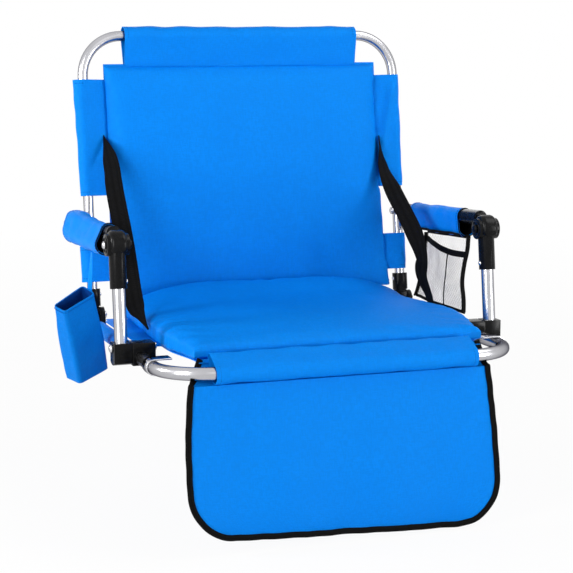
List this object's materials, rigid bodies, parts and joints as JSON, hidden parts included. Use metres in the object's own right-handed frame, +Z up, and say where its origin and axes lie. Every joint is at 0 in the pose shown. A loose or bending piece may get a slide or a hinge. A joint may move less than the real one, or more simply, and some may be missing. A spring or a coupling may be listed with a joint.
{
  "type": "folding bleacher seat",
  "caption": "Folding bleacher seat: padded sling seat and back on a tube frame, with linked folding arms, side pouch, mesh pocket, bench hooks and a front flap",
  "frame": {"origin": "in the middle of the seat on the plane of the bench top", "axes": "+Z up, -Y to the front of the seat, +X to the right as seen from the front"},
  "size_m": [0.6826, 0.5245, 0.7161],
  "materials": {
    "aluminium_tube": "satin drawn tube",
    "bright_steel": "bright zinc plate",
    "black_plastic": "moulded, soft sheen",
    "blue_cloth": "woven polyester",
    "black_webbing": "woven webbing and binding tape",
    "white_mesh": "open mesh cloth"
  },
  "bodies": {
    "seat": {"seat_frame_tube": "aluminium_tube", "left_rail_clamp": "black_plastic", "right_rail_clamp": "black_plastic", "left_foot_bolt": "bright_steel", "right_foot_bolt": "bright_steel", "left_hinge_bracket": "black_plastic", "right_hinge_bracket": "black_plastic", "left_hinge_bolt": "bright_steel", "right_hinge_bolt": "bright_steel", "seat_sling": "blue_cloth", "left_seat_sleeve": "blue_cloth", "right_seat_sleeve": "blue_cloth", "front_sleeve": "blue_cloth", "seat_pad": "blue_cloth", "left_strap": "black_webbing", "right_strap": "black_webbing"},
    "back": {"back_frame_tube": "aluminium_tube", "left_back_foot": "black_plastic", "right_back_foot": "black_plastic", "left_arm_bolt": "bright_steel", "right_arm_bolt": "bright_steel", "left_arm_spacer": "black_plastic", "right_arm_spacer": "black_plastic", "back_sling": "blue_cloth", "left_upper_side_sleeve": "blue_cloth", "right_upper_side_sleeve": "blue_cloth", "left_lower_side_sleeve": "blue_cloth", "right_lower_side_sleeve": "blue_cloth", "top_sleeve": "blue_cloth", "back_pad": "blue_cloth"},
    "left_upright": {"left_upright_tube": "aluminium_tube", "left_foot_block": "black_plastic", "left_knuckle": "black_plastic", "left_knuckle_bolt": "bright_steel"},
    "left_arm": {"left_arm_tube": "aluminium_tube", "left_arm_eye": "black_plastic", "left_arm_rear_plug": "black_plastic", "left_arm_cover": "blue_cloth"},
    "right_upright": {"right_upright_tube": "aluminium_tube", "right_foot_block": "black_plastic", "right_knuckle": "black_plastic", "right_knuckle_bolt": "bright_steel"},
    "right_arm": {"right_arm_tube": "aluminium_tube", "right_arm_eye": "black_plastic", "right_arm_rear_plug": "black_plastic", "right_arm_cover": "blue_cloth", "mesh_pocket": "white_mesh", "mesh_pocket_front_hem": "black_webbing", "mesh_pocket_rear_hem": "black_webbing"},
    "pouch": {"pouch": "blue_cloth", "pouch_strap": "blue_cloth"},
    "flap": {"flap_panel": "blue_cloth", "flap_binding": "black_webbing"},
    "left_hook": {"left_bench_hook": "bright_steel"},
    "right_hook": {"right_bench_hook": "bright_steel"}
  },
  "joints": [
    {"name": "back_fold", "type": "hinge", "parent": "seat", "child": "back", "pos_m": [0, 0.211, 0.025], "axis": [1, 0, 0], "range_deg": [0, 82], "deforming": ["seat_pad", "back_pad", "left_strap", "right_strap"]},
    {"name": "left_upright_fold", "type": "hinge", "parent": "seat", "child": "left_upright", "pos_m": [-0.292, -0.075, 0.025], "axis": [1, 0, 0], "range_deg": [0, 82]},
    {"name": "left_arm_level", "type": "hinge", "parent": "left_upright", "child": "left_arm", "pos_m": [-0.292, -0.05695, 0.172], "axis": [1, 0, 0], "range_deg": [-82, 0], "deforming": ["left_arm_cover"]},
    {"name": "right_upright_fold", "type": "hinge", "parent": "seat", "child": "right_upright", "pos_m": [0.292, -0.075, 0.025], "axis": [1, 0, 0], "range_deg": [0, 82]},
    {"name": "right_arm_level", "type": "hinge", "parent": "right_upright", "child": "right_arm", "pos_m": [0.292, -0.05695, 0.172], "axis": [1, 0, 0], "range_deg": [-82, 0], "deforming": ["right_arm_cover", "mesh_pocket", "mesh_pocket_front_hem", "mesh_pocket_rear_hem"]},
    {"name": "pouch_swing", "type": "hinge", "parent": "left_arm", "child": "pouch", "pos_m": [-0.305, 0.036, 0.14643], "axis": [0, 1, 0], "range_deg": [0, 29]},
    {"name": "flap_swing", "type": "hinge", "parent": "seat", "child": "flap", "pos_m": [0, -0.229, -0.0107], "axis": [-1, 0, 0], "range_deg": [-75, 95]},
    {"name": "left_hook_swivel", "type": "hinge", "parent": "seat", "child": "left_hook", "pos_m": [-0.266, -0.148, 0.0105], "axis": [0, -1, 0], "range_deg": [0, 90]},
    {"name": "right_hook_swivel", "type": "hinge", "parent": "seat", "child": "right_hook", "pos_m": [0.266, -0.148, 0.0105], "axis": [0, 1, 0], "range_deg": [0, 90]}
  ],
  "couplings": [
    {"joint": "left_upright_fold", "follows": "back_fold", "ratio": 1},
    {"joint": "left_arm_level", "follows": "back_fold", "ratio": -1},
    {"joint": "right_upright_fold", "follows": "back_fold", "ratio": 1},
    {"joint": "right_arm_level", "follows": "back_fold", "ratio": -1},
    {"joint": "pouch_swing", "follows": "back_fold", "ratio": 0.35}
  ]
}
